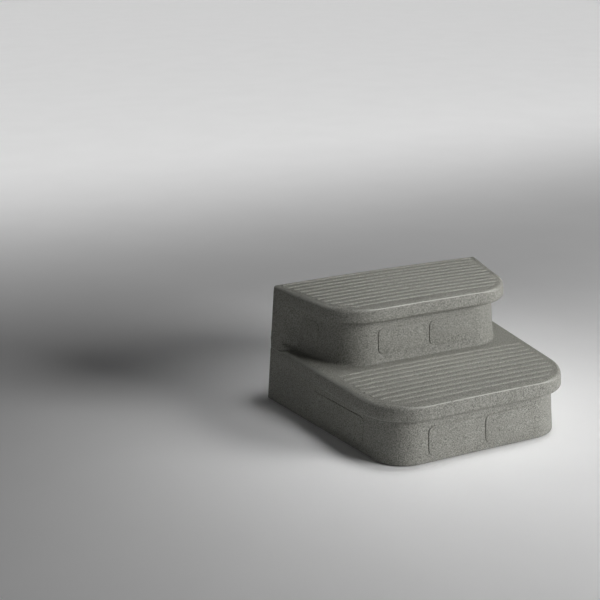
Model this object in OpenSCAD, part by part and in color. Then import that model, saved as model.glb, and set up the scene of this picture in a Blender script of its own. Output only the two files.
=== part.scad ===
// Two-tier moulded spa steps: a drafted one-piece shell with two ribbed treads,
// raised cover panels on the risers, support posts inside and a screwed-on base.

/* [Overall size] */
// Width of the base where it stands against the tub
base_w = 772; // [740:1:800]
// Depth of the base at floor level, back to front
base_d = 608; // [600:1:615]
// Height of the upper tread above the floor, without its ribs
upper_h = 368; // [356:1:372]
// Height of the lower tread above the floor
lower_h = 185; // [180:1:188]

/* [Plan shape] */
// Depth of the lower tread's lip, back to front
lower_lip_d = 628; // [624:1:640]
// Depth of the upper tread's lip, back to front
upper_lip_d = 334; // [326:1:340]
// Depth of the upper riser where it meets the lower tread
upper_foot_d = 304; // [298:1:308]
// How fast the base narrows towards the front, on each side, in degrees
base_taper = 9.7; // [8.5:0.1:10]
// How fast the lower lip narrows towards the front, in degrees
lower_lip_taper = 5.8; // [5:0.1:6.5]
// How fast the upper lip narrows towards the front, in degrees
upper_lip_taper = 12.5; // [11:0.1:13]
// How fast the upper riser narrows towards the front, in degrees
upper_riser_taper = 14; // [12:0.1:14.5]
// Inward step of the upper side walls beneath their lip
side_recess = 31; // [26:1:33]
// Front corner radius of the base
base_corner_r = 106; // [90:1:110]
// Front corner radius of the lower lip
lower_lip_r = 149; // [130:1:152]
// Front corner radius of the upper lip
upper_lip_r = 152; // [120:1:154]
// Front corner radius of the upper riser
upper_riser_r = 120; // [100:1:122]

/* [Walls and lips] */
// Thickness of the moulded wall
wall = 6; // [5:0.5:7]
// Lean of the side walls, in degrees
side_draft = 3.9; // [3.5:0.1:4.2]
// Lean of the risers, in degrees
front_draft = 4.3; // [3.5:0.1:5]
// Height of the lower lip's face
lower_lip_h = 48; // [40:1:49]
// Height of the upper lip's face
upper_lip_h = 46; // [36:1:47]
// Edge radius along the top of the lips
lip_top_r = 10; // [6:1:12]
// Edge radius along the bottom of the lips
lip_bottom_r = 8; // [5:1:9]
// Radius where the upper riser meets the lower tread
foot_fillet = 8; // [5:1:10]

/* [Tread ribs] */
// Spacing of the ribs
rib_pitch = 27.5; // [26.5:0.1:27.8]
// Height of a rib
rib_h = 2.4; // [1.5:0.1:3]
// Width of a rib at its foot
rib_base = 13; // [10:1:14]
// Width of a rib at its top
rib_top = 6; // [4:1:7]
// Plain margin between the ribs and the edge of a tread
rib_margin = 20; // [16:1:24]
// Number of ribs on the upper tread
upper_ribs = 11; // [8:1:11]
// Number of ribs on the lower tread
lower_ribs = 10; // [7:1:10]
// Distance from the back to the first rib of the upper tread
upper_rib_start = 12; // [10:1:16]
// Distance from the back to the first rib of the lower tread
lower_rib_start = 338; // [336:1:342]

/* [Cover panels] */
// Thickness of a cover panel
panel_t = 3; // [2.5:0.1:3.5]
// How far a cover panel stands out of its wall
panel_proud = 2; // [1.5:0.1:2.2]
// Corner radius of a cover panel
panel_r = 18; // [12:1:22]
// Width of the lower riser's two panels
lower_panel_w = 151; // [130:1:156]
// Height of the lower riser's panels
lower_panel_h = 84; // [70:1:88]
// Gap between the lower riser's two panels
lower_panel_gap = 34; // [24:1:40]
// Width of the upper riser's two panels
upper_panel_w = 149; // [130:1:152]
// Height of the upper riser's panels
upper_panel_h = 77; // [66:1:80]
// Gap between the upper riser's two panels
upper_panel_gap = 24; // [20:1:34]
// Length of the panels on the lower tier's sides
lower_side_panel_w = 250; // [200:1:260]
// Length of the panels on the upper tier's sides
upper_side_panel_w = 76; // [70:1:80]

/* [Base, feet and posts] */
// How far the rubber feet hold the shell off the floor
foot_gap = 2.5; // [2:0.5:3]
// Thickness of the base panel
base_t = 8; // [7:0.5:9]
// Width of the flange that the base panel is screwed to
flange_w = 30; // [28:1:32]
// Radius of a rubber foot
foot_r = 24; // [20:1:26]
// Thickness of a rubber foot
foot_h = 5; // [4.5:0.5:5.5]
// Outer radius of a support post
post_r = 30; // [24:1:32]
// Wall of a support post
post_wall = 4; // [3:0.5:5]
// Radius of a post's cap
cap_r = 42; // [38:1:44]
// Thickness of a post's cap
cap_t = 8; // [6:1:10]

/* [Hidden] */
$fn = 48;

shell_grey = [0.60, 0.60, 0.56];
panel_grey = [0.61, 0.61, 0.57];
base_grey = [0.24, 0.24, 0.23];
rubber_black = [0.07, 0.07, 0.07];
post_white = [0.80, 0.80, 0.78];
steel = [0.70, 0.71, 0.72];
brass = [0.78, 0.62, 0.30];

// The back of the shell lies at y = back; s is the distance in front of it.
back = lower_lip_d / 2;
half_w = base_w / 2;
side_lean = tan(side_draft);
front_lean = tan(front_draft);
base_top = foot_gap + base_t;
flange_t = 8;
flange_top = base_top + flange_t;
lower_lip_z = lower_h - lower_lip_h;
upper_lip_z = upper_h - upper_lip_h;
// Fall of the lower tread towards its edge, so that water runs off
tread_fall = 1;
// Where the side lips begin to stand out of the flush rear band, and are full
blend_start = 45;
blend_end = 95;
// Distances from the back at which every outline has a point on its side
fixed_stations = [0, 45, 55, 65, 75, 85, 95];
free_stations = 4;
arc_steps = 8;

function smooth(t) = let (c = min(max(t, 0), 1)) c * c * (3 - 2 * c);
function blend(s) = smooth((s - blend_start) / (blend_end - blend_start));
// Half width of the flush rear edge at height z
function flush_x(z) = half_w - z * side_lean;
// Outline of a tier: [width line at the back, taper, depth, corner radius, side step]
function base_shape(z) = [flush_x(z), base_taper, base_d - z * front_lean, base_corner_r, 0];
function lower_lip_shape(z) = [flush_x(z), lower_lip_taper, lower_lip_d, lower_lip_r, 0];
function upper_lip_shape(z) = [flush_x(z), upper_lip_taper, upper_lip_d, upper_lip_r, 0];
function upper_riser_shape(z, flare) =
    [flush_x(z), upper_riser_taper, upper_foot_d - (z - lower_h) * front_lean + flare,
        upper_riser_r + flare, side_recess - flare];

// Centre of an outline's corner, after an inset, as [x, s]
function corner_s(o, inset) = (o[2] - inset) - (o[3] - inset);
function corner_x(o, inset) =
    (o[0] - o[4] - inset / cos(o[1])) - (o[3] - inset) / cos(o[1])
    - corner_s(o, inset) * tan(o[1]);
// Slight outward bow of the side walls between the back and the corner
side_bow = 0.5;
function bow(o, s) =
    let (t = 2 * s / (o[2] - o[3] + o[3] * sin(o[1])) - 1)
    side_bow * max(0, 1 - t * t);
// Half width of an outline's side at distance s from the back
function side_x(o, s, inset) =
    o[0] - s * tan(o[1]) + bow(o, s) - o[4] * blend(s) - inset / cos(o[1]);
function half_width(o, s, inset) =
    let (r = o[3] - inset, cs = corner_s(o, inset))
    s < cs + r * sin(o[1]) ? side_x(o, s, inset)
        : corner_x(o, inset) + sqrt(max(r * r - (s - cs) * (s - cs), 0));

// Right half of an outline, from the back to the front, as [x, s].
// The edge inset fades in from the flush rear band; the wall inset is the same all round.
function half_outline(o, edge, inset) =
    let (total = edge + inset, r = o[3] - total, cs = corner_s(o, total),
         cx = corner_x(o, total), s_tangent = cs + r * sin(o[1]),
         last = fixed_stations[len(fixed_stations) - 1] + inset,
         stations = concat([for (f = fixed_stations) f + inset],
             [for (k = [1:free_stations]) last + (s_tangent - last) * k / (free_stations + 1)]))
    concat(
        [for (s = stations) [side_x(o, s, inset) - edge * blend(s) / cos(o[1]), s]],
        [for (k = [0:arc_steps]) let (a = o[1] + (90 - o[1]) * k / arc_steps)
            [cx + r * cos(a), cs + r * sin(a)]]);
// Whole outline at height z as a ring of points, from the back left to the back right
function ring(o, z, edge, inset) =
    let (half = half_outline(o, edge, inset), n = len(half))
    concat([for (p = half) [-p[0], back - p[1], z]],
        [for (k = [n - 1:-1:0]) [half[k][0], back - half[k][1], z]]);

// Closed solid through a stack of rings, from the lowest to the highest
module loft(rings) {
    n = len(rings[0]);
    m = len(rings);
    polyhedron(
        points = [for (r = rings) each r],
        faces = concat(
            [[for (k = [0:n - 1]) k]],
            [for (i = [0:m - 2]) for (k = [0:n - 1])
                [i * n + k, i * n + n + k, i * n + n + (k + 1) % n]],
            [for (i = [0:m - 2]) for (k = [0:n - 1])
                [i * n + k, i * n + n + (k + 1) % n, i * n + (k + 1) % n]],
            [[for (k = [n - 1:-1:0]) (m - 1) * n + k]]),
        convexity = 8);
}

// Rings of a lip's rounded lower edge, and of a rounded upper edge. The upper edge of the
// lower lip fades out at the back (fades = 1), and that of the upper lip goes all round.
function lip_low_rings(o, z) = let (r = lip_bottom_r, c = 1 - cos(45)) [
    ring(o, z, r, 0),
    ring(o, z + r * c, r * c, 0),
    ring(o, z + r, 0, 0)];
function lip_high_rings(o, z, fades) = let (r = lip_top_r, c = 1 - cos(45)) [
    ring(o, z - r, 0, 0),
    ring(o, z - r * c, fades * r * c, (1 - fades) * r * c),
    ring(o, z, fades * r, (1 - fades) * r)];

module shell_outside() {
    edge = 2;
    step = 1;
    loft(concat(
        [ring(base_shape(foot_gap), foot_gap, 0, edge),
            ring(base_shape(foot_gap + edge), foot_gap + edge, 0, 0),
            ring(base_shape(lower_lip_z), lower_lip_z - step, 0, 0)],
        lip_low_rings(lower_lip_shape(lower_lip_z + lip_bottom_r), lower_lip_z),
        lip_high_rings(lower_lip_shape(lower_h), lower_h - tread_fall, 1),
        [ring(upper_riser_shape(lower_h, foot_fillet), lower_h, 0, 0),
            ring(upper_riser_shape(lower_h + foot_fillet * 0.3, foot_fillet * 0.3),
                lower_h + foot_fillet * 0.3, 0, 0),
            ring(upper_riser_shape(lower_h + foot_fillet, 0), lower_h + foot_fillet, 0, 0),
            ring(upper_riser_shape(upper_lip_z, 0), upper_lip_z - step, 0, 0)],
        lip_low_rings(upper_lip_shape(upper_lip_z + lip_bottom_r), upper_lip_z),
        lip_high_rings(upper_lip_shape(upper_h), upper_h, 0)));
}

module shell_inside() {
    rim = wall;
    flange = wall + flange_w;
    step = 1;
    loft([
        ring(base_shape(foot_gap), foot_gap - 2, 0, rim),
        ring(base_shape(base_top), base_top, 0, rim),
        ring(base_shape(base_top), base_top, 0, flange),
        ring(base_shape(flange_top), flange_top, 0, flange),
        ring(base_shape(flange_top), flange_top, 0, wall),
        ring(base_shape(lower_lip_z + wall), lower_lip_z + wall - step, 0, wall),
        ring(lower_lip_shape(lower_lip_z + wall), lower_lip_z + wall, 0, wall),
        ring(lower_lip_shape(lower_h - wall - lip_top_r), lower_h - wall - lip_top_r, 0, wall),
        ring(lower_lip_shape(lower_h - wall), lower_h - wall - tread_fall, lip_top_r, wall),
        ring(upper_riser_shape(lower_h, 0), lower_h - wall, 0, wall),
        ring(upper_riser_shape(upper_lip_z + wall, 0), upper_lip_z + wall - step, 0, wall),
        ring(upper_lip_shape(upper_lip_z + wall), upper_lip_z + wall, 0, wall),
        ring(upper_lip_shape(upper_h - wall - lip_top_r), upper_h - wall - lip_top_r, 0, wall),
        ring(upper_lip_shape(upper_h - wall), upper_h - wall, lip_top_r, wall)]);
}

// One anti-slip rib across a tread, centred at distance s from the back
module rib(half_len, s, z) {
    embed = tread_fall + 1;
    translate([-half_len, back - s, z])
        rotate([90, 0, 90])
            linear_extrude(2 * half_len)
                polygon([[-rib_base / 2, -embed], [rib_base / 2, -embed], [rib_base / 2, 0],
                    [rib_top / 2, rib_h], [-rib_top / 2, rib_h], [-rib_base / 2, 0]]);
}

module tread_ribs() {
    for (k = [0:upper_ribs - 1]) {
        s = upper_rib_start + k * rib_pitch;
        rib(half_width(upper_lip_shape(upper_h), s, rib_margin), s, upper_h);
    }
    for (k = [0:lower_ribs - 1]) {
        s = lower_rib_start + k * rib_pitch;
        rib(half_width(lower_lip_shape(lower_h), s, rib_margin), s, lower_h - tread_fall);
    }
}

// Places a cover panel: local x runs along the wall, local z points out of it.
// at = [x, s, z] on the wall's face, turn = heading about the vertical, lean = draft.
module on_wall(at, turn, lean) {
    translate([at[0], back - at[1], at[2]])
        rotate([0, 0, turn])
            rotate([90 - lean, 0, 0])
                children();
}

lower_panel_z = 65;
upper_panel_z = lower_h + 66;
// Distances from the back to the middles of the side panels
lower_side_panel_s = 350;
upper_side_panel_s = 138;
lower_panel_x = (lower_panel_gap + lower_panel_w) / 2;
upper_panel_x = (upper_panel_gap + upper_panel_w) / 2;

module at_lower_riser(x) {
    on_wall([x, base_d - lower_panel_z * front_lean, lower_panel_z], 0, front_draft) children();
}
module at_upper_riser(x) {
    on_wall([x, upper_foot_d - (upper_panel_z - lower_h) * front_lean, upper_panel_z],
        0, front_draft) children();
}
module at_lower_side() {
    o = base_shape(lower_panel_z);
    on_wall([side_x(o, lower_side_panel_s, 0), lower_side_panel_s, lower_panel_z],
        90 - base_taper, side_draft) children();
}
module at_upper_side() {
    o = upper_riser_shape(upper_panel_z, 0);
    on_wall([side_x(o, upper_side_panel_s, 0), upper_side_panel_s, upper_panel_z],
        90 - upper_riser_taper, side_draft) children();
}
// Puts its children at the wall that the numbered panel covers, 0 to 7
module at_panel(i) {
    if (i == 0) at_upper_riser(-upper_panel_x) children();
    if (i == 1) at_upper_riser(upper_panel_x) children();
    if (i == 2) at_lower_riser(-lower_panel_x) children();
    if (i == 3) at_lower_riser(lower_panel_x) children();
    if (i == 4) mirror([1, 0, 0]) at_upper_side() children();
    if (i == 5) at_upper_side() children();
    if (i == 6) mirror([1, 0, 0]) at_lower_side() children();
    if (i == 7) at_lower_side() children();
}
panel_sizes = [
    [upper_panel_w, upper_panel_h], [upper_panel_w, upper_panel_h],
    [lower_panel_w, lower_panel_h], [lower_panel_w, lower_panel_h],
    [upper_side_panel_w, upper_panel_h], [upper_side_panel_w, upper_panel_h],
    [lower_side_panel_w, lower_panel_h], [lower_side_panel_w, lower_panel_h]];

// Corner points of a rounded rectangle about the origin
function rounded(w, h, r) = [for (c = [0:3]) for (k = [0:6])
    let (a = c * 90 + k * 15, sx = (c == 0 || c == 3) ? 1 : -1, sy = c < 2 ? 1 : -1)
    [sx * (w / 2 - r) + r * cos(a), sy * (h / 2 - r) + r * sin(a)]];

stud_r = 3;
stud_len = wall + 6;
stud_hole_r = 3.3;
// Distance from a panel's end to its stud
stud_inset = 24;
// Distance from a panel's centre to each of its two studs
function stud_x(size) = size[0] / 2 - stud_inset;

module cover_panel(i) {
    size = panel_sizes[i];
    // The face's edge is stepped in all round
    step_h = 0.8;
    step_in = 0.6;
    color(panel_grey) at_panel(i) {
        translate([0, 0, panel_proud - panel_t])
            linear_extrude(panel_t - step_h)
                polygon(rounded(size[0], size[1], panel_r));
        translate([0, 0, panel_proud - step_h])
            linear_extrude(step_h)
                polygon(rounded(size[0] - 2 * step_in, size[1] - 2 * step_in,
                    panel_r - step_in));
        for (side = [-1, 1])
            translate([side * stud_x(size), 0, -stud_len])
                cylinder(h = stud_len + 0.5, r = stud_r);
    }
}

module panel_seats() {
    clearance = 0.3;
    for (i = [0:7]) {
        size = panel_sizes[i];
        at_panel(i) {
            translate([0, 0, panel_proud - panel_t])
                linear_extrude(panel_t + 2)
                    polygon(rounded(size[0] + 2 * clearance, size[1] + 2 * clearance,
                        panel_r + clearance));
            for (side = [-1, 1])
                translate([side * stud_x(size), 0, -wall - 4])
                    cylinder(h = wall + 6, r = stud_hole_r);
        }
    }
}

// Toothed push-on nuts that hold the cover panels' studs from inside
module panel_push_nuts() {
    nut_r = 7;
    nut_t = 1.2;
    color(steel) for (i = [0:7]) at_panel(i) for (side = [-1, 1])
        translate([side * stud_x(panel_sizes[i]), 0, -wall - nut_t - 0.4])
            difference() {
                cylinder(h = nut_t, r = nut_r);
                translate([0, 0, -1]) cylinder(h = nut_t + 2, r = stud_r + 0.05);
            }
}

// Base panel screws sit in the flange all round: [x, s]
screw_inset = 21;
rear_screw_x = 300;
rear_screw_mid_x = 100;
front_screw_x = 150;
base_screw_points = [
    for (x = [-rear_screw_x, -rear_screw_mid_x, rear_screw_mid_x, rear_screw_x]) [x, screw_inset],
    for (s = [170, 330]) for (side = [-1, 1])
        [side * (half_width(base_shape(0), s, 0) - screw_inset), s],
    for (x = [-front_screw_x, front_screw_x]) [x, base_d - screw_inset - 1]];
insert_r = 3.6;
insert_bore_r = 2.5;

module step_shell() {
    color(shell_grey) difference() {
        union() {
            shell_outside();
            tread_ribs();
        }
        shell_inside();
        panel_seats();
        for (p = base_screw_points)
            translate([p[0], back - p[1], base_top - 1])
                cylinder(h = flange_t + 2, r = insert_r);
    }
}

module threaded_inserts() {
    color(brass) for (p = base_screw_points)
        translate([p[0], back - p[1], base_top])
            difference() {
                cylinder(h = flange_t, r = insert_r);
                translate([0, 0, -1]) cylinder(h = flange_t + 2, r = insert_bore_r);
            }
}

screw_head_r = 4.75;
screw_head_h = 2.6;
base_screw_len = 14;
head_pocket_r = 5.5;
head_pocket_h = 3.2;

module base_screws() {
    color(steel) for (p = base_screw_points)
        translate([p[0], back - p[1], foot_gap + head_pocket_h]) {
            translate([0, 0, -screw_head_h]) difference() {
                cylinder(h = screw_head_h, r = screw_head_r);
                translate([0, 0, -0.1]) cylinder(h = 1.6, r = base_hex_r, $fn = 6);
            }
            cylinder(h = base_screw_len - 2, r = insert_bore_r - 0.05);
        }
}

// Rubber feet under the base panel: [x, s]
foot_points = [
    [-318, 62], [0, 62], [318, 62], [-245, 535], [0, 555], [245, 535]];
foot_pocket = foot_h - foot_gap;
foot_screw_r = 3;
// Radius across the corners of the screws' hexagon sockets
base_hex_r = 2;
foot_hex_r = 2.3;
foot_head_r = 6;
foot_bore_h = 2.8;

// Support posts: [x, s, underside of the tread above]
upper_post_top = upper_h - wall - cap_t;
lower_post_top = lower_h - wall - tread_fall - cap_t;
post_points = [
    [-165, 165, upper_post_top], [165, 165, upper_post_top],
    [-200, 440, lower_post_top], [0, 440, lower_post_top], [200, 440, lower_post_top]];
socket_h = 14;
socket_wall = 4;

module base_outline(inset) {
    half = half_outline(base_shape(base_top), 0, inset);
    polygon(concat([for (p = half) [-p[0], back - p[1]]],
        [for (k = [len(half) - 1:-1:0]) [half[k][0], back - half[k][1]]]));
}

module base_panel() {
    fit = 1;
    color(base_grey) difference() {
        union() {
            translate([0, 0, foot_gap]) linear_extrude(base_t) base_outline(wall + fit);
            for (p = post_points)
                translate([p[0], back - p[1], base_top - 1])
                    cylinder(h = socket_h + 1, r = post_r + socket_wall);
        }
        for (p = post_points)
            translate([p[0], back - p[1], base_top])
                cylinder(h = socket_h + 1, r = post_r + 0.3);
        for (p = base_screw_points) translate([p[0], back - p[1], 0]) {
            cylinder(h = base_top + 1, r = insert_bore_r + 0.3);
            cylinder(h = foot_gap + head_pocket_h, r = head_pocket_r);
        }
        for (p = foot_points) translate([p[0], back - p[1], 0]) {
            cylinder(h = base_top + 1, r = foot_screw_r + 0.3);
            cylinder(h = foot_gap + foot_pocket, r = foot_r + 0.3);
        }
    }
}

module foot(i) {
    chamfer = 0.8;
    p = foot_points[i];
    color(rubber_black) translate([p[0], back - p[1], 0]) difference() {
        union() {
            cylinder(h = chamfer, r1 = foot_r - chamfer, r2 = foot_r);
            translate([0, 0, chamfer]) cylinder(h = foot_h - chamfer, r = foot_r);
        }
        translate([0, 0, -1]) cylinder(h = foot_h + 2, r = foot_screw_r + 0.2);
        translate([0, 0, -1]) cylinder(h = foot_bore_h + 1, r = foot_head_r + 1);
    }
}

module foot_screws() {
    head_h = 2.1;
    shank = 14;
    color(steel) for (p = foot_points)
        translate([p[0], back - p[1], foot_bore_h]) {
            translate([0, 0, -head_h]) difference() {
                cylinder(h = head_h, r = foot_head_r);
                translate([0, 0, -0.1]) cylinder(h = 1.5, r = foot_hex_r, $fn = 6);
            }
            cylinder(h = shank, r = foot_screw_r);
        }
}

module foot_nuts() {
    nut_h = 5;
    nut_r = 5.8;
    washer_t = 1.2;
    washer_r = 9;
    color(steel) for (p = foot_points)
        translate([p[0], back - p[1], base_top])
            difference() {
                union() {
                    cylinder(h = washer_t, r = washer_r);
                    cylinder(h = washer_t + nut_h, r = nut_r, $fn = 6);
                }
                translate([0, 0, -1]) cylinder(h = washer_t + nut_h + 2, r = foot_screw_r + 0.05);
            }
}

module post(i) {
    p = post_points[i];
    color(post_white) translate([p[0], back - p[1], base_top])
        difference() {
            cylinder(h = p[2] - base_top, r = post_r);
            translate([0, 0, -1]) cylinder(h = p[2] - base_top + 2, r = post_r - post_wall);
        }
}

module post_caps() {
    spigot = 18;
    // Ring-shaped relief in the cap's top face
    relief_depth = 3;
    relief_outer = cap_r - 6;
    relief_inner = cap_r - 16;
    color(base_grey) for (p = post_points)
        translate([p[0], back - p[1], p[2]]) {
            difference() {
                cylinder(h = cap_t - 0.3, r = cap_r);
                translate([0, 0, cap_t - relief_depth]) difference() {
                    cylinder(h = relief_depth + 1, r = relief_outer);
                    translate([0, 0, -1]) cylinder(h = relief_depth + 3, r = relief_inner);
                }
            }
            translate([0, 0, -spigot]) difference() {
                cylinder(h = spigot + 0.5, r = post_r - post_wall - 0.3);
                translate([0, 0, -1]) cylinder(h = spigot + 1, r = post_r - post_wall - 4);
            }
        }
}

step_shell();
base_panel();
cover_panel(0);  // upper_riser_panel_left
cover_panel(1);  // upper_riser_panel_right
cover_panel(2);  // lower_riser_panel_left
cover_panel(3);  // lower_riser_panel_right
cover_panel(4);  // upper_side_panel_left
cover_panel(5);  // upper_side_panel_right
cover_panel(6);  // lower_side_panel_left
cover_panel(7);  // lower_side_panel_right
panel_push_nuts();
post(0);  // upper_post_left
post(1);  // upper_post_right
post(2);  // lower_post_left
post(3);  // lower_post_centre
post(4);  // lower_post_right
post_caps();
foot(0);  // foot_back_left
foot(1);  // foot_back_centre
foot(2);  // foot_back_right
foot(3);  // foot_front_left
foot(4);  // foot_front_centre
foot(5);  // foot_front_right
foot_screws();
foot_nuts();
base_screws();
threaded_inserts();
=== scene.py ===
import math

import bmesh
import bpy
import numpy as np
from mathutils import Matrix, Vector


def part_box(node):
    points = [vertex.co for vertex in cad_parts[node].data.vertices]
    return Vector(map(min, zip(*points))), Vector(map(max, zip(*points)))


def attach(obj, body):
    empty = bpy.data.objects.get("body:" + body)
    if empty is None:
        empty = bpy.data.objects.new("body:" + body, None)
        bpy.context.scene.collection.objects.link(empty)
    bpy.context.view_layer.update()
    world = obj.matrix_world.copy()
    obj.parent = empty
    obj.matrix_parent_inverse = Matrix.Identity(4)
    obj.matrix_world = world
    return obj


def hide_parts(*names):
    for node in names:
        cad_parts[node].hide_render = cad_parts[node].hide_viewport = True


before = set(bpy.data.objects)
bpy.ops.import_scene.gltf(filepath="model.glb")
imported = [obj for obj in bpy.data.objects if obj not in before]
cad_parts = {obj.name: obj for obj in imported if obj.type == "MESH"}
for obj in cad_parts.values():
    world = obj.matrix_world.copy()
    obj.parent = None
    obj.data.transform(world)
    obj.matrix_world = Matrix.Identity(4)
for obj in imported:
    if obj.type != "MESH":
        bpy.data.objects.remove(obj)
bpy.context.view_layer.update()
MM = 0.001


# ---------------------------------------------------------------- node helpers
class Nodes:
    """Builds a material's node tree in short calls."""

    def __init__(self, name, base, rough, metal=0.0):
        self.mat = bpy.data.materials.new(name)
        self.mat.use_nodes = True
        self.tree = self.mat.node_tree
        self.tree.nodes.clear()
        self.out = self.add("ShaderNodeOutputMaterial")
        self.bsdf = self.add("ShaderNodeBsdfPrincipled")
        self.link(self.bsdf.outputs[0], self.out.inputs["Surface"])
        self.bsdf.inputs["Base Color"].default_value = (*base, 1)
        self.bsdf.inputs["Roughness"].default_value = rough
        self.bsdf.inputs["Metallic"].default_value = metal
        self.coord = self.add("ShaderNodeTexCoord").outputs["Object"]

    def add(self, kind):
        return self.tree.nodes.new(kind)

    def link(self, a, b):
        self.tree.links.new(a, b)

    def put(self, socket, value):
        if hasattr(value, "is_output"):
            self.link(value, socket)
        else:
            socket.default_value = value

    def noise(self, scale, detail=2.0, rough=0.5, vector=None):
        n = self.add("ShaderNodeTexNoise")
        n.inputs["Scale"].default_value = scale
        n.inputs["Detail"].default_value = detail
        n.inputs["Roughness"].default_value = rough
        self.link(vector or self.coord, n.inputs["Vector"])
        return n.outputs["Fac"]

    def stretch(self, sx, sy, sz):
        n = self.add("ShaderNodeMapping")
        n.inputs["Scale"].default_value = (sx, sy, sz)
        self.link(self.coord, n.inputs["Vector"])
        return n.outputs[0]

    def ramp(self, fac, lo, hi, a=0.0, b=1.0):
        n = self.add("ShaderNodeMapRange")
        n.clamp = True
        self.link(fac, n.inputs["Value"])
        for key, v in (("From Min", lo), ("From Max", hi), ("To Min", a), ("To Max", b)):
            n.inputs[key].default_value = v
        return n.outputs[0]

    def math(self, op, a, b=0.0):
        n = self.add("ShaderNodeMath")
        n.operation = op
        self.put(n.inputs[0], a)
        self.put(n.inputs[1], b)
        return n.outputs[0]

    def mix(self, fac, a, b):
        n = self.add("ShaderNodeMix")
        n.data_type = "RGBA"
        self.put(n.inputs["Factor"], fac)
        for socket, v in ((n.inputs[6], a), (n.inputs[7], b)):
            self.put(socket, v if hasattr(v, "is_output") else (*v, 1))
        return n.outputs[2]

    def bump(self, height, distance, strength=1.0, after=None):
        n = self.add("ShaderNodeBump")
        n.inputs["Distance"].default_value = distance
        n.inputs["Strength"].default_value = strength
        self.link(height, n.inputs["Height"])
        if after is not None:
            self.link(after, n.inputs["Normal"])
        return n.outputs[0]

    def height(self):
        """World height of the shaded point in metres."""
        n = self.add("ShaderNodeSeparateXYZ")
        self.link(self.coord, n.inputs[0])
        return n.outputs["Z"]

    def color(self, socket):
        self.link(socket, self.bsdf.inputs["Base Color"])

    def rough(self, socket):
        self.link(socket, self.bsdf.inputs["Roughness"])

    def normal(self, socket):
        self.link(socket, self.bsdf.inputs["Normal"])


# Vertex attribute that holds how much painted highlight each point of the shell and ribs gets
HIGHLIGHT_ATTR = "edge_wear"


def paint_highlight(m, col, light):
    """Paints a highlight onto crisp edges and rib crests: mixes in a paler colour by the amount the
    mesh's own vertex attribute holds.
    """
    n = m.add("ShaderNodeAttribute")
    n.attribute_name = HIGHLIGHT_ATTR
    return m.mix(n.outputs["Fac"], col, light)


GRANITE_MID = (0.200, 0.199, 0.176)
GRANITE_DARK = (0.070, 0.070, 0.060)
GRANITE_LIGHT = (0.370, 0.368, 0.330)
# Paler colour mixed in along crisp edges and rib crests as a painted highlight
GRANITE_HIGHLIGHT = (0.50, 0.50, 0.46)


def granite(name, shade=1.0):
    """Granite-look moulded plastic: fine dark and light grains, pebbled skin, darker patches near the
    floor, and a painted highlight on crisp edges and rib crests.
    """
    mid, dark, light, highlight_col = (
        tuple(shade * c for c in colour)
        for colour in (GRANITE_MID, GRANITE_DARK, GRANITE_LIGHT, GRANITE_HIGHLIGHT))
    m = Nodes(name, mid, 0.5)
    soft = m.noise(9.0, 3.0)
    grain = m.noise(320.0, 2.0, 0.6)
    fleck = m.noise(600.0, 1.0, 0.5)
    col = m.mix(m.ramp(grain, 0.44, 0.66), mid, light)
    col = m.mix(m.ramp(grain, 0.46, 0.28), col, dark)
    col = m.mix(m.ramp(fleck, 0.36, 0.26, 0.0, 0.8), col, dark)
    col = m.mix(m.ramp(fleck, 0.64, 0.74, 0.0, 0.8), col, light)
    col = m.mix(m.ramp(soft, 0.3, 0.7, 0.0, 0.15), col, mid)
    scuff = m.noise(26.0, 5.0, 0.7, m.stretch(1.0, 3.0, 3.0))
    col = m.mix(m.ramp(scuff, 0.66, 0.80, 0.0, 0.12), col, light)
    # Darker in soft patches over the lowest 30 mm, towards the floor
    near_floor_dark = m.ramp(m.height(), 0.0, 0.03, 0.22, 0.0)
    col = m.mix(m.math("MULTIPLY", near_floor_dark, m.ramp(soft, 0.35, 0.65)), col, dark)
    # Painted highlight: the paler colour mixed in where the mesh's attribute marks crisp edges and rib
    # crests
    m.color(paint_highlight(m, col, highlight_col))
    m.rough(m.ramp(m.noise(160.0, 3.0), 0.3, 0.7, 0.42, 0.58))
    skin = m.math("ADD", m.noise(430.0, 2.0, 0.6), m.math("MULTIPLY", m.noise(190.0, 2.0), 0.5))
    m.normal(m.bump(skin, 0.0022, 0.8, m.bump(m.noise(14.0, 2.0), 0.004, 0.10)))
    m.bsdf.inputs["Specular IOR Level"].default_value = 0.45
    return m.mat


def plastic(name, base, rough, grain=900.0):
    m = Nodes(name, base, rough)
    fine = m.noise(grain, 2.0)
    wide = m.noise(30.0, 4.0)
    pale = tuple(min(1.0, c * 1.25 + 0.01) for c in base)
    m.color(m.mix(m.ramp(wide, 0.35, 0.75, 0.0, 0.6), base, pale))
    m.rough(m.ramp(wide, 0.3, 0.7, rough - 0.08, rough + 0.1))
    m.normal(m.bump(fine, 0.0003, 0.4))
    return m.mat


def rubber(name):
    m = Nodes(name, (0.02, 0.02, 0.02), 0.8)
    wide = m.noise(60.0, 4.0)
    m.color(m.mix(m.ramp(wide, 0.45, 0.75, 0.0, 0.7), (0.018, 0.018, 0.018), (0.06, 0.058, 0.055)))
    m.rough(m.ramp(wide, 0.3, 0.7, 0.7, 0.9))
    m.normal(m.bump(m.noise(1500.0, 2.0), 0.0003, 0.5))
    return m.mat


def metal(name, base, rough):
    m = Nodes(name, base, rough, 1.0)
    brushed = m.noise(700.0, 2.0, 0.5, m.stretch(1.0, 1.0, 0.1))
    dull = tuple(c * 0.7 for c in base)
    m.color(m.mix(m.ramp(m.noise(120.0, 3.0), 0.45, 0.75, 0.0, 0.6), base, dull))
    m.rough(m.ramp(brushed, 0.3, 0.7, rough - 0.08, rough + 0.12))
    m.normal(m.bump(brushed, 0.0001, 0.3))
    return m.mat


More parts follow.
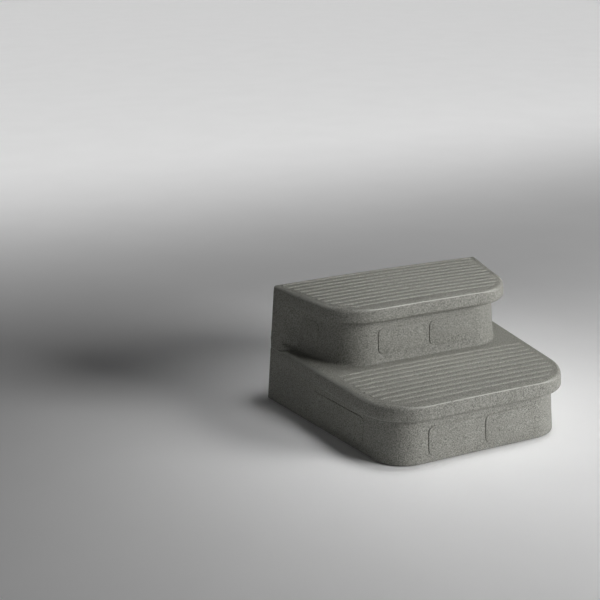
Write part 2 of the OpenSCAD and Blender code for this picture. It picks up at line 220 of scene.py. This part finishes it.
shell_mat = granite("shell_granite")
panel_mat = granite("panel_granite", 1.02)
base_mat = plastic("base_dark_plastic", (0.035, 0.035, 0.034), 0.55)
post_mat = plastic("post_off_white", (0.62, 0.62, 0.59), 0.42)
foot_mat = rubber("foot_rubber")
steel_mat = metal("stainless", (0.56, 0.56, 0.57), 0.32)
zinc_mat = metal("zinc_steel", (0.48, 0.48, 0.49), 0.42)
brass_mat = metal("insert_brass", (0.66, 0.46, 0.19), 0.35)


def paint(obj, mat):
    obj.data.materials.clear()
    obj.data.materials.append(mat)


# ---------------------------------------------------------------- the shell
# Outlines are in millimetres: x across, s in front of the back face. The outer sizes that the CAD
# piece carries come from its box; the others repeat the CAD's own values.
lo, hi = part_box("step_shell")
CAD_RIB_H = 2.4
BACK = hi[1] / MM
HALF_W = hi[0] / MM
DEPTH = (hi[1] - lo[1]) / MM
UPPER_TOP = hi[2] / MM - CAD_RIB_H
LOWER_TOP = 185.0
BOTTOM = lo[2] / MM
LOWER_LIP_Z = LOWER_TOP - 48.0
UPPER_LIP_Z = UPPER_TOP - 46.0

# Leans from the vertical and, seen from above, the sides' tapers towards the front, in degrees
SIDE_LEAN_DEG = 3.9
FRONT_LEAN_DEG = 4.3
SIDE_LEAN = math.tan(math.radians(SIDE_LEAN_DEG))
FRONT_LEAN = math.tan(math.radians(FRONT_LEAN_DEG))
BASE_TAPER = 9.7
LOWER_LIP_TAPER = 5.8
UPPER_LIP_TAPER = 12.5
RISER_TAPER = 14.0

# How far each outline comes forward, its corner radius, and how far the riser steps in
BASE_D, BASE_R = 608.0, 106.0
LOWER_LIP_R = 149.0
UPPER_LIP_D, UPPER_LIP_R = 334.0, 152.0
RISER_D, RISER_R, RISER_STEP = 304.0, 120.0, 31.0

# Points along each side: close together at the rear edge and in the band where the riser steps in
SIDE_S = np.array([0, 0.9, 3, 8, 16, 24, 32, 38, 44, 48, 52, 56, 60, 64, 68, 72, 76, 80, 85, 90,
                   95, 103, 110.0])
N_FREE = 14
N_ARC = 26
N_FRONT = 40
N_HALF = len(SIDE_S) + N_FREE + N_ARC + 1
ACROSS = np.linspace(-1, 1, N_FRONT + 1)
BLEND = (45.0, 95.0)
REAR_R = 3.0


def smooth(t):
    """Eases from 0 to 1 as t does, and stays level outside."""
    c = np.clip(t, 0, 1)
    return c * c * (3 - 2 * c)


def fade(s):
    """0 in the flush rear band, 1 where the lips stand clear of the walls."""
    return smooth((s - BLEND[0]) / (BLEND[1] - BLEND[0]))


def flush_x(z):
    """Half width of the leaning side walls at height z, at the back."""
    return HALF_W - z * SIDE_LEAN


def base_shape(z):
    return dict(x=flush_x(z), taper=BASE_TAPER, d=BASE_D - z * FRONT_LEAN, r=BASE_R, step=0.0)


def lower_lip_shape(z):
    return dict(x=flush_x(z), taper=LOWER_LIP_TAPER, d=DEPTH, r=LOWER_LIP_R, step=0.0)


def upper_lip_shape(z):
    return dict(x=flush_x(z), taper=UPPER_LIP_TAPER, d=UPPER_LIP_D, r=UPPER_LIP_R, step=0.0)


def riser_shape(z):
    return dict(x=flush_x(z), taper=RISER_TAPER, d=RISER_D - (z - LOWER_TOP) * FRONT_LEAN,
                r=RISER_R, step=RISER_STEP)


def half_outline(o, inset=0.0):
    """Right half of an outline, from the back to the front corner's end: rows of (x, s).

    The inset may be one value or one per point."""
    t = math.radians(o["taper"])
    inset = np.broadcast_to(np.asarray(inset, float), (N_HALF,))
    cs = o["d"] - o["r"]
    cx = o["x"] - o["step"] - cs * math.tan(t) - o["r"] / math.cos(t)
    s_t = cs + o["r"] * math.sin(t)
    last = SIDE_S[-1]
    s = np.concatenate([SIDE_S, last + (s_t - last) * np.arange(1, N_FREE + 1) / (N_FREE + 1)])
    k = len(s)
    x = o["x"] - s * math.tan(t) - o["step"] * fade(s) - inset[:k] / math.cos(t)
    near = np.clip((REAR_R - s) / REAR_R, 0, 1)
    x = x - REAR_R * (1 - np.sqrt(1 - near ** 2))
    a = t + (math.pi / 2 - t) * np.arange(N_ARC + 1) / N_ARC
    r = o["r"] - inset[k:]
    arc = np.stack([cx + r * np.cos(a), cs + r * np.sin(a)], 1)
    return np.vstack([np.stack([x, s], 1), arc])


def full_outline(half):
    """Closed outline: left side back to front, front edge, right side front to back, back edge."""
    left = np.stack([-half[:, 0], half[:, 1]], 1)
    front = np.stack([ACROSS[1:-1] * half[-1, 0], np.full(N_FRONT - 1, half[-1, 1])], 1)
    right = half[::-1]
    rear = np.stack([-ACROSS[1:-1] * half[0, 0], np.full(N_FRONT - 1, half[0, 1])], 1)
    return np.vstack([left, front, right, rear])


def spread(value):
    """A per-point value of the half outline, spread over the full outline."""
    value = np.broadcast_to(np.asarray(value, float), (N_HALF,))
    return np.concatenate([value, np.full(N_FRONT - 1, value[-1]), value[::-1],
                           np.full(N_FRONT - 1, value[0])])


def side_weight():
    """0 on the front edge, 1 along the sides, changing through the corner."""
    w = np.ones(N_HALF)
    w[-N_ARC - 1:] = smooth(np.linspace(1, 0, N_ARC + 1))
    return w


SIDE_W = side_weight()
# 0 on the sides and on the front edge, 1 in the middle of the corner between them
CORNER = np.zeros(N_HALF)
CORNER[-N_ARC - 1:] = np.sin(np.linspace(0, math.pi, N_ARC + 1)) ** 1.5
# 0 in the flush rear band, 1 in front of it
REAR = np.ones(N_HALF)
REAR[:len(SIDE_S)] = fade(SIDE_S)
# The lips' undersides and lower edges are softer where the lips die away at the rear
SOFT = 1 - smooth((half_outline(riser_shape(LOWER_TOP))[:, 1] - 60.0) / 110.0)
UNDER = 9.0 + 22.0 * SOFT
R_LOW = 8.0 + 8.0 * SOFT
WALL = 6.0
# The inner ceilings lie this far below the treads
CEILING_T = 9.0
CEILING_INSET = 8.0
# The inner face slopes from the lip's outline to the wall's from this far above the lip's
# underside to this far below it
LIP_STEP = 14.0
# The treads roll down a little along their front edges
ROLL_DROP = 2.4
ROLL_W = 13.0
# The treads are this much higher in the middle and lower at these half widths
CROWN = 1.6
LOWER_CROWN_W = 345.0
UPPER_CROWN_W = 330.0


def crown(x, half_width):
    """Height that a tread's crown adds at x: a parabola from +CROWN to -CROWN."""
    return CROWN - 2 * CROWN * np.minimum(np.abs(x) / half_width, 1.0) ** 2


def ring(half, z, crown_width=0.0, amount=1.0, rear=0.0):
    """3-D ring in metres at height z, which is one number or one per half-outline point.

    crown_width and amount add that much of a tread's crown. rear is how far the ring's back edge
    stands in front of the back face."""
    full = full_outline(half)
    full[:, 1] = np.maximum(full[:, 1], rear)
    zz = spread(z)
    if crown_width:
        zz = zz + amount * crown(full[:, 0], crown_width)
    return np.stack([full[:, 0], BACK - full[:, 1], zz], 1) * MM


def leaned(half, z, heights):
    """Moves an outline made for height z to one height per point, along the walls' lean."""
    out = half.copy()
    out[:, 0] -= (heights - z) * SIDE_LEAN
    return out


def between(a, b, t):
    return a + (b - a) * t


# The skin's rings in order, and how much painted highlight each of their points gets
rings = []
ring_highlight = []


def add_ring(points, highlight_amount=0.0):
    rings.append(points)
    ring_highlight.append(np.broadcast_to(highlight_amount, (len(points),)))


# Shares of the lip's overhang: where its concave underside ends, and where its rounded lower
# edge starts
UNDER_END = 0.34
LOW_EDGE_START = 0.72


def lip(wall_shape, lip_shape, z_under, z_top, top_r, width, tread_rear, sag=0.0, rear_r=0.0):
    """Concave underside, rounded lower edge, face, crisp upper edge and a rolled-off tread rim.

    top_r is the upper edge's radius, width the tread's crown width, and tread_rear 0 where the
    tread runs into the side wall. sag lowers the upper edge in the flush rear band, where the lip
    dies away. rear_r rounds the back edge."""
    for f in np.linspace(0, math.pi / 2, 7)[1:]:
        z = z_under - UNDER.min() * (1 - math.sin(f))
        heights = z_under - UNDER * (1 - math.sin(f))
        wall = leaned(half_outline(wall_shape(z)), z, heights)
        edge = leaned(half_outline(lip_shape(z)), z, heights)
        add_ring(ring(between(wall, edge, UNDER_END * (1 - math.cos(f))), heights, width,
                      0.5 * math.sin(f)))
    for f in np.linspace(0, math.pi / 2, 6):
        z = z_under + R_LOW.min() * (1 - math.cos(f))
        heights = z_under + R_LOW * (1 - math.cos(f))
        wall = leaned(half_outline(wall_shape(z)), z, heights)
        edge = leaned(half_outline(lip_shape(z)), z, heights)
        out = LOW_EDGE_START + (1 - LOW_EDGE_START) * math.sin(f)
        add_ring(ring(between(wall, edge, out), heights, width))
    for t in (0.35, 0.7):
        z = (z_under + R_LOW.min()) * (1 - t) + (z_top - top_r.max()) * t
        heights = (z_under + R_LOW) * (1 - t) + (z_top - top_r.max()) * t
        add_ring(ring(leaned(half_outline(lip_shape(z)), z, heights), heights, width))
    drop = ROLL_DROP * (1 - SIDE_W)
    for f in np.linspace(0, math.pi / 2, 9):
        z = z_top - sag - drop - top_r * (1 - math.sin(f)) * (0.25 + 0.75 * tread_rear)
        inset = top_r * (1 - math.cos(f)) * tread_rear
        # Painted highlight along the upper edge: strongest half way round it, weaker on the sides and
        # none in the corners
        highlight_amount = spread(math.sin(2 * f) ** 2 * (1 - CORNER) * (1 - 0.4 * SIDE_W))
        add_ring(ring(half_outline(lip_shape(z_top), inset), z, width,
                      rear=rear_r * (1 - math.cos(f))), highlight_amount)
    for t in (0.3, 0.65, 1.0):
        z = z_top - sag - drop * (1 - smooth(t))
        inset = (top_r + ROLL_W * t) * tread_rear
        add_ring(ring(half_outline(lip_shape(z_top), inset), z, width, rear=rear_r))


def inner_ring(shape, z, inset):
    """Ring of the moulded wall's inner face."""
    half = half_outline(shape(z), inset)
    half[:, 0] = np.minimum(half[:, 0], np.interp(WALL, half[:, 1], half[:, 0]))
    return ring(half, z, rear=WALL)


def wall_rings(shape, z_from, z_under, count):
    """A plain outer wall, from the height z_from up to where the lip's underside starts."""
    for t in np.linspace(0, 1, count):
        z = z_from * (1 - t) + (z_under - UNDER.min()) * t
        heights = z_from * (1 - t) + (z_under - UNDER) * t
        add_ring(ring(leaned(half_outline(shape(z)), z, heights), heights))


# The inner face, from the upper tier's ceiling down to the rim at the floor
ceiling = LOWER_TOP - CEILING_T
for shape, z, inset in (
        (upper_lip_shape, UPPER_TOP - CEILING_T, CEILING_INSET),
        (upper_lip_shape, UPPER_LIP_Z + LIP_STEP, WALL),
        (riser_shape, UPPER_LIP_Z - LIP_STEP, WALL), (riser_shape, ceiling, WALL),
        (lower_lip_shape, ceiling, CEILING_INSET), (lower_lip_shape, LOWER_LIP_Z + LIP_STEP, WALL),
        (base_shape, LOWER_LIP_Z - LIP_STEP, WALL), (base_shape, 60.0, WALL),
        (base_shape, BOTTOM + 1.5, WALL), (base_shape, BOTTOM, WALL - 1.0)):
    add_ring(inner_ring(shape, z, inset))

# The rounded floor edge and the base wall
FLOOR_EDGE_R = 3.5
for f in np.linspace(0, math.pi / 2, 5):
    z = BOTTOM + FLOOR_EDGE_R * (1 - math.cos(f))
    add_ring(ring(half_outline(base_shape(z), FLOOR_EDGE_R * (1 - math.sin(f))), z))
wall_rings(base_shape, BOTTOM + 8, LOWER_LIP_Z, 5)

# The lower lip, then its tread round the upper tier
lower_r = 3.2 + 7.5 * SIDE_W + 8.0 * CORNER
sag = 12.0 * (1 - REAR)
lip(base_shape, lower_lip_shape, LOWER_LIP_Z, LOWER_TOP, lower_r, LOWER_CROWN_W, REAR, sag)
lower_edge = half_outline(lower_lip_shape(LOWER_TOP), (lower_r + ROLL_W) * REAR)
foot_r = 6.0 + 3.0 * SIDE_W
foot_rise = 16.0 * (1 - REAR)


def foot_outline(f):
    """Ring of the fillet between the lower tread and the upper riser, f from 0 to a right angle."""
    flare = foot_r * (1 - math.sin(f))
    z = LOWER_TOP + foot_rise + foot_r * (1 - math.cos(f))
    half = half_outline(riser_shape(LOWER_TOP), -flare)
    rear = slice(len(SIDE_S))
    flush = flush_x(z[rear]) - SIDE_S * math.tan(math.radians(UPPER_LIP_TAPER))
    half[rear, 0] = np.minimum(half[rear, 0], flush)
    return half, z


foot_low, _ = foot_outline(0.0)
for t in (0.25, 0.5, 0.75):
    z = LOWER_TOP - sag * (1 - t) + foot_rise * t
    add_ring(ring(between(lower_edge, foot_low, t), z, LOWER_CROWN_W))
for f in np.linspace(0, math.pi / 2, 7):
    half, z = foot_outline(f)
    add_ring(ring(half, z, LOWER_CROWN_W, math.cos(f)))

# The upper riser and the upper lip
wall_rings(riser_shape, LOWER_TOP + 44, UPPER_LIP_Z, 4)
upper_r = 3.0 + (5.0 + 3.0 * REAR) * SIDE_W + 8.0 * CORNER
lip(riser_shape, upper_lip_shape, UPPER_LIP_Z, UPPER_TOP, upper_r, UPPER_CROWN_W, 1.0,
    rear_r=REAR_R)


def band_faces(ring_count, n):
    """Quads between neighbouring rings of n points each."""
    faces = []
    for i in range(ring_count - 1):
        a, b = i * n, (i + 1) * n
        for k in range(n):
            j = (k + 1) % n
            faces.append((a + k, a + j, b + j, b + k))
    return faces


def cap_grid(verts, start, flip):
    """Closes the ring that starts at a vertex with a grid, rows from the back to the front.

    Returns the vertices with the grid's own added, and the grid's faces."""
    left = [start + k for k in range(N_HALF)]
    front = [start + N_HALF + k for k in range(N_FRONT - 1)]
    right = [start + N_HALF + N_FRONT - 1 + k for k in range(N_HALF)][::-1]
    rear = [start + 2 * N_HALF + N_FRONT - 1 + k for k in range(N_FRONT - 1)][::-1]
    rows = [[left[0]] + rear + [right[0]]]
    extra = []
    for i_left, i_right in zip(left[1:-1], right[1:-1]):
        a, b = verts[i_left], verts[i_right]
        edge = crown(a[0] / MM, UPPER_CROWN_W) * MM
        first = len(verts) + len(extra)
        for f in ACROSS[1:-1]:
            p = a + (b - a) * (f + 1) / 2
            p[2] = a[2] + (crown(p[0] / MM, UPPER_CROWN_W) * MM - edge)
            extra.append(p)
        rows.append([i_left, *range(first, len(verts) + len(extra)), i_right])
    rows.append([left[-1]] + front + [right[-1]])
    grid = []
    for near, far in zip(rows, rows[1:]):
        for k in range(len(near) - 1):
            quad = (near[k], far[k], far[k + 1], near[k + 1])
            grid.append(quad[::-1] if flip else quad)
    return np.vstack([verts, np.array(extra)]), grid


n_ring = len(rings[0])
verts = np.vstack(rings)
faces = band_faces(len(rings), n_ring)
verts, top_cap = cap_grid(verts, (len(rings) - 1) * n_ring, False)
verts, inner_cap = cap_grid(verts, 0, True)
faces += top_cap + inner_cap


def mesh_object(name, v, f, mat):
    """A smooth-shaded object from vertices in metres and faces, with repeated vertices merged."""
    me = bpy.data.meshes.new(name)
    me.from_pydata([tuple(map(float, p)) for p in v], [], [tuple(map(int, q)) for q in f])
    me.validate()
    bm = bmesh.new()
    bm.from_mesh(me)
    bmesh.ops.remove_doubles(bm, verts=bm.verts, dist=1e-6)
    bmesh.ops.recalc_face_normals(bm, faces=bm.faces)
    bm.to_mesh(me)
    bm.free()
    for p in me.polygons:
        p.use_smooth = True
    obj = bpy.data.objects.new(name, me)
    bpy.context.scene.collection.objects.link(obj)
    paint(obj, mat)
    return obj


def mark_highlight(obj, points, values):
    """Stores the painted-highlight amount per vertex on a mesh, by matching its vertices to the points
    it was built from.
    """
    marks = {tuple(np.round(p, 6)): w for p, w in zip(points, values) if w > 0}
    layer = obj.data.attributes.new(HIGHLIGHT_ATTR, "FLOAT", "POINT")
    for i, vert in enumerate(obj.data.vertices):
        layer.data[i].value = marks.get(tuple(np.round(np.array(vert.co, dtype=float), 6)), 0.0)


shell = mesh_object("step_shell_skin", verts, faces, shell_mat)
# Painted highlight along the skin's upper edges
mark_highlight(shell, verts[:len(rings) * n_ring], np.concatenate(ring_highlight))


# ---------------------------------------------------------------- tread ribs
# Across a rib: (offset from its centre line, height), in millimetres
RIB_PROFILE = [(-7.6, -1.2), (-7.2, 0.0), (-6.3, 0.15), (-5.5, 0.6), (-4.7, 1.3), (-3.9, 1.9),
               (-3.1, 2.1), (0.0, 2.2), (3.1, 2.1), (3.9, 1.9), (4.7, 1.3), (5.5, 0.6),
               (6.3, 0.15), (7.2, 0.0), (7.6, -1.2)]
# How a rib's end rises: (distance in from its tip, share of the full height)
RIB_END = [(0.0, 0.0), (0.6, 0.45), (1.6, 0.75), (3.2, 0.94), (5.0, 1.0)]
RIB_PITCH = 27.5
# Painted highlight given to the rib crests, the parts of the profile higher than CREST_H
RIB_HIGHLIGHT = 0.16
CREST_H = 1.8


def outline_x(o, s, inset):
    """Half width of an outline at the distance s in front of the back."""
    half = half_outline(o, inset)
    return float(np.interp(s, half[:, 1], half[:, 0]))


def closed_faces(ring_count, n):
    """Faces of rings of n points each, with both end rings closed."""
    last = (ring_count - 1) * n
    return band_faces(ring_count, n) + [tuple(range(n))[::-1], tuple(range(last, last + n))]


def rib_mesh(o, centre, z_tread, width, margin, height):
    """One rib: the profile swept across the tread, its rounded ends following the outline."""
    # Each station is a side or share of the half width, a distance in from the end, and a rise
    stations = [(-1, e, k) for e, k in RIB_END]
    stations += [(f, RIB_END[-1][0], 1.0) for f in np.linspace(-0.94, 0.94, 25)]
    stations += [(1, e, k) for e, k in RIB_END[::-1]]
    v = []
    for f, e, k in stations:
        for off, h in RIB_PROFILE:
            s = centre + off
            x = f * (outline_x(o, s, margin) - e)
            z = z_tread + crown(x, width) + (height * h * k if h > 0 else h)
            v.append((x * MM, (BACK - s) * MM, z * MM))
    return v, closed_faces(len(stations), len(RIB_PROFILE))


rib_v, rib_f = [], []
for count, start, shape, z, width, margin, height in (
        (11, 12.0, upper_lip_shape, UPPER_TOP, UPPER_CROWN_W, 20.0, 1.0),
        (10, 338.0, lower_lip_shape, LOWER_TOP, LOWER_CROWN_W, 26.0, 0.85)):
    for k in range(count):
        v, f = rib_mesh(shape(z), start + RIB_PITCH * k, z, width, margin, height)
        base = len(rib_v)
        rib_v += v
        rib_f += [tuple(base + i for i in q) for q in f]
ribs = mesh_object("step_shell_ribs", rib_v, rib_f, shell_mat)
# Painted highlight on the rib crests only
rib_highlight = [RIB_HIGHLIGHT if h > CREST_H else 0.0 for _, h in RIB_PROFILE]
mark_highlight(ribs, rib_v, rib_highlight * (len(rib_v) // len(RIB_PROFILE)))


# ---------------------------------------------------------------- cover panels
PANEL_R = 18.0
PANEL_PROUD = 2.0
PANEL_T = 3.0
PANEL_EDGE = 1.1


def rounded_rect(w, h, r, steps=8):
    """A rounded rectangle's points, counter-clockwise from its right side."""
    pts = []
    for c in range(4):
        for k in range(steps + 1):
            a = c * math.pi / 2 + k * math.pi / 2 / steps
            sx = 1 if c in (0, 3) else -1
            sy = 1 if c < 2 else -1
            pts.append((sx * (w / 2 - r) + r * math.cos(a), sy * (h / 2 - r) + r * math.sin(a)))
    return pts


def panel_mesh(w, h):
    """A plate with a rounded front edge; the shell's wall is at z = 0, and the sizes are in metres."""
    proud, edge = PANEL_PROUD * MM, PANEL_EDGE * MM
    layers = [((PANEL_PROUD - PANEL_T) * MM, 0.0)]
    for f in np.linspace(0, math.pi / 2, 5):
        layers.append((proud - edge + edge * math.sin(f), edge * (1 - math.cos(f))))
    v = []
    for z, e in layers:
        v += [(x, y, z) for x, y in rounded_rect(w - 2 * e, h - 2 * e, PANEL_R * MM - e)]
    return v, closed_faces(len(layers), len(v) // len(layers))


def place_panel(node, w, h, heading, lean, side):
    """A panel whose outer face is where the CAD panel's is: heading 0 on a riser, else on a side."""
    p_lo, p_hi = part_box(node)
    face = (Vector(p_lo) + Vector(p_hi)) / 2
    # The face's middle: the box's outer extreme, brought back along the lean and the taper
    rise = (h / 2 - PANEL_EDGE) * MM * math.sin(math.radians(lean))
    if heading == 0:
        face.y = p_lo[1] + rise
    else:
        run = (w / 2 - PANEL_EDGE) * MM * math.sin(math.radians(90 - abs(heading)))
        face.x = (p_hi[0] if side > 0 else p_lo[0]) - side * (run + rise)
    obj = mesh_object(node + "_plate", *panel_mesh(w * MM, h * MM), panel_mat)
    upright = Matrix.Rotation(math.radians(90 - lean), 4, "X")
    turn = Matrix.Rotation(math.radians(heading), 4, "Z") @ upright
    outward = (turn @ Vector((0, 0, 1))).normalized()
    obj.data.transform(Matrix.Translation(face - outward * PANEL_PROUD * MM) @ turn)
    return obj


UPPER_PANEL_H = 77.0
LOWER_PANEL_H = 84.0
plates = {}
for side, word in ((-1, "left"), (1, "right")):
    for name, w, h, heading, lean in (
            ("upper_riser_panel_", 149.0, UPPER_PANEL_H, 0.0, FRONT_LEAN_DEG),
            ("lower_riser_panel_", 151.0, LOWER_PANEL_H, 0.0, FRONT_LEAN_DEG),
            ("upper_side_panel_", 76.0, UPPER_PANEL_H, side * (90 - RISER_TAPER), SIDE_LEAN_DEG),
            ("lower_side_panel_", 250.0, LOWER_PANEL_H, side * (90 - BASE_TAPER), SIDE_LEAN_DEG)):
        plates[name + word] = place_panel(name + word, w, h, heading, lean, side)


# ---------------------------------------------------------------- who rides, who replaces
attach(shell, "root")
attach(ribs, "root")
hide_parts("step_shell")
for node, obj in plates.items():
    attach(obj, "root")
    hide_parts(node)

CAD_MATS = {
    "base_panel": base_mat, "post_caps": base_mat, "panel_push_nuts": zinc_mat,
    "foot_screws": steel_mat, "foot_nuts": steel_mat, "base_screws": steel_mat,
    "threaded_inserts": brass_mat}
for name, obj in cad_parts.items():
    if name in CAD_MATS:
        paint(obj, CAD_MATS[name])
    elif "_post_" in name:
        paint(obj, post_mat)
    elif name.startswith("foot_"):
        paint(obj, foot_mat)


# ---------------------------------------------------------------- stage
def floor_material():
    pale, paler = (0.90, 0.90, 0.90), (0.92, 0.92, 0.92)
    m = Nodes("studio_floor", pale, 0.75)
    m.color(m.mix(m.ramp(m.noise(3.0, 3.0), 0.3, 0.7), pale, paler))
    return m.mat


bpy.ops.mesh.primitive_plane_add(size=60, location=(0, 0, 0))
floor = bpy.context.object
floor.name = "studio_floor"
paint(floor, floor_material())

world = bpy.data.worlds.new("studio")
bpy.context.scene.world = world
world.use_nodes = True
background = world.node_tree.nodes["Background"]
background.inputs["Color"].default_value = (1, 1, 1, 1)
background.inputs["Strength"].default_value = 0.018


def area(name, location, target, size, power, spread=180):
    """A rectangular light of size metres, aimed at a target, that the camera doesn't see."""
    light = bpy.data.lights.new(name, "AREA")
    light.energy = power
    light.shape = "RECTANGLE"
    light.size, light.size_y = size
    light.spread = math.radians(spread)
    obj = bpy.data.objects.new(name, light)
    obj.visible_camera = False
    bpy.context.scene.collection.objects.link(obj)
    obj.location = location
    obj.rotation_euler = (Vector(target) - Vector(location)).to_track_quat("-Z", "Y").to_euler()


area("key", (3.3, -3.4, 1.9), (0.0, 0.0, 0.15), (2.2, 1.6), 257)
area("top", (0.62, -0.15, 2.9), (0.10, 0.02, 0.3), (1.2, 1.0), 2.35, 36)
area("fill", (-2.6, -0.2, 1.1), (-0.3, 0.1, 0.25), (0.9, 0.9), 0.28, 40)
# A wide light straight above the far floor, whose narrow spread keeps it off the steps
area("far_floor", (5.5, 11.6, 6.0), (5.5, 11.6, 0.0), (16.0, 18.0), 640, 40)

# ---------------------------------------------------------------- camera
# Fitted to the photo's straight edges, rib lines and silhouettes
camera_data = bpy.data.cameras.new("camera")
camera = bpy.data.objects.new("camera", camera_data)
bpy.context.scene.collection.objects.link(camera)
bpy.context.scene.camera = camera
camera_data.sensor_width = 36.0
camera.location = (-1.68272, -2.72443, 1.42096)
camera.rotation_euler = [math.radians(v) for v in (71.8942, 0.1804, -25.4834)]
camera_data.lens = 68.847
camera_data.shift_x = -0.01647
camera_data.shift_y = -0.00968
camera_data.clip_end = 100.0

bpy.context.scene.view_settings.view_transform = "Standard"
